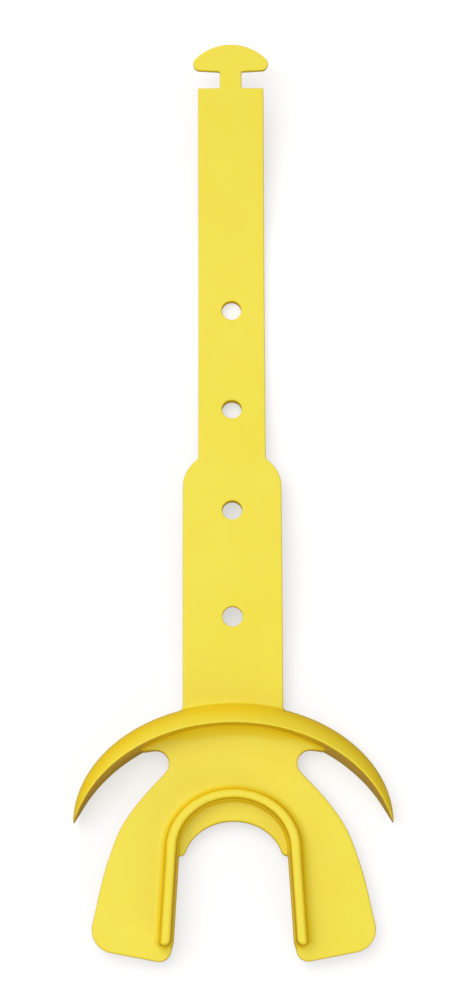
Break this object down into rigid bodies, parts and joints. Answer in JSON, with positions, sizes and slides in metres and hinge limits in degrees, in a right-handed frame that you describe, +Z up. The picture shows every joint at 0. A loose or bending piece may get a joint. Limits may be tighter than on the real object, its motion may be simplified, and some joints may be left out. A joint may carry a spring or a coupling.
{
  "type": "strap mouthguard",
  "caption": "Soft moulded mouthguard: horseshoe bite plate with a crescent lip guard, and a flat strap with round holes that ends in a mushroom toggle.",
  "frame": {"origin": "on the floor under the middle of the whole part", "axes": "+Y along the strap from the bite plate to the toggle, +X to one side of the mouth, +Z up, out of the bite plate's upper face"},
  "size_m": [0.0734, 0.2196, 0.013],
  "materials": {
    "eva": "satin soft EVA plastic"
  },
  "bodies": {
    "guard": {"lip_guard": "eva", "bite_plate_front": "eva", "lingual_ridge_front": "eva", "incisor_ledge": "eva", "strap_root": "eva"},
    "horn_right": {"lip_guard_horn_right": "eva"},
    "horn_left": {"lip_guard_horn_left": "eva"},
    "arm_right": {"bite_arm_right": "eva", "lingual_ridge_right": "eva"},
    "arm_left": {"bite_arm_left": "eva", "lingual_ridge_left": "eva"},
    "strap_near": {"strap_section_near": "eva"},
    "strap_shoulder": {"strap_section_shoulder": "eva"},
    "strap_middle": {"strap_section_middle": "eva"},
    "strap_far": {"strap_section_far": "eva"},
    "tail_near": {"strap_tail_near": "eva"},
    "tail_middle": {"strap_tail_middle": "eva"},
    "tail_end": {"strap_tail_end": "eva"},
    "toggle": {"toggle_neck": "eva", "toggle_core": "eva"},
    "wing_right": {"toggle_wing_right": "eva"},
    "wing_left": {"toggle_wing_left": "eva"}
  },
  "joints": [
    {"name": "strap_root_bend", "type": "hinge", "parent": "guard", "child": "strap_near", "pos_m": [0, -0.0452, 0.00393], "axis": [1, 0, 0], "range_deg": [-60, 60], "stiffness_Nm_per_rad": 0.0281},
    {"name": "strap_near_bend", "type": "hinge", "parent": "strap_near", "child": "strap_shoulder", "pos_m": [0, -0.0183, 0.00629], "axis": [1, 0, 0], "range_deg": [-60, 60], "stiffness_Nm_per_rad": 0.0166},
    {"name": "strap_shoulder_bend", "type": "hinge", "parent": "strap_shoulder", "child": "strap_middle", "pos_m": [0, 0.0091, 0.00389], "axis": [1, 0, 0], "range_deg": [-60, 60], "stiffness_Nm_per_rad": 0.0123},
    {"name": "strap_middle_bend", "type": "hinge", "parent": "strap_middle", "child": "strap_far", "pos_m": [0, 0.03222, 0.00105], "axis": [1, 0, 0], "range_deg": [-60, 60], "stiffness_Nm_per_rad": 0.0126},
    {"name": "strap_far_bend", "type": "hinge", "parent": "strap_far", "child": "tail_near", "pos_m": [0, 0.05762, 0.00105], "axis": [1, 0, 0], "range_deg": [-60, 60], "stiffness_Nm_per_rad": 0.0154},
    {"name": "tail_near_bend", "type": "hinge", "parent": "tail_near", "child": "tail_middle", "pos_m": [0, 0.07165, 0.00302], "axis": [1, 0, 0], "range_deg": [-60, 60], "stiffness_Nm_per_rad": 0.0217},
    {"name": "tail_end_bend", "type": "hinge", "parent": "tail_middle", "child": "tail_end", "pos_m": [0, 0.08551, 0.00597], "axis": [1, 0, 0], "range_deg": [-60, 60], "stiffness_Nm_per_rad": 0.0217},
    {"name": "toggle_neck_bend", "type": "hinge", "parent": "tail_end", "child": "toggle", "pos_m": [0, 0.09925, 0.00939], "axis": [1, 0, 0], "range_deg": [-60, 60], "stiffness_Nm_per_rad": 0.006},
    {"name": "toggle_wing_right_fold", "type": "hinge", "parent": "toggle", "child": "wing_right", "pos_m": [0.0032, 0.10634, 0.01116], "axis": [0, -0.9703, -0.2419], "range_deg": [-75, 75], "stiffness_Nm_per_rad": 0.004},
    {"name": "toggle_wing_left_fold", "type": "hinge", "parent": "toggle", "child": "wing_left", "pos_m": [-0.0032, 0.10634, 0.01116], "axis": [0, 0.9703, 0.2419], "range_deg": [-75, 75], "stiffness_Nm_per_rad": 0.004},
    {"name": "horn_right_flex", "type": "hinge", "parent": "guard", "child": "horn_right", "pos_m": [0.0225, -0.05983, 0.00341], "axis": [0, 0, -1], "range_deg": [-12, 12], "stiffness_Nm_per_rad": 0.1},
    {"name": "horn_left_flex", "type": "hinge", "parent": "guard", "child": "horn_left", "pos_m": [-0.0225, -0.05983, 0.00341], "axis": [0, 0, 1], "range_deg": [-12, 12], "stiffness_Nm_per_rad": 0.1},
    {"name": "arm_right_flex", "type": "hinge", "parent": "guard", "child": "arm_right", "pos_m": [0.02077, -0.08677, 0.00341], "axis": [-1, 0, 0], "range_deg": [-10, 10], "stiffness_Nm_per_rad": 0.1},
    {"name": "arm_left_flex", "type": "hinge", "parent": "guard", "child": "arm_left", "pos_m": [-0.02077, -0.08677, 0.00341], "axis": [-1, 0, 0], "range_deg": [-10, 10], "stiffness_Nm_per_rad": 0.1}
  ]
}
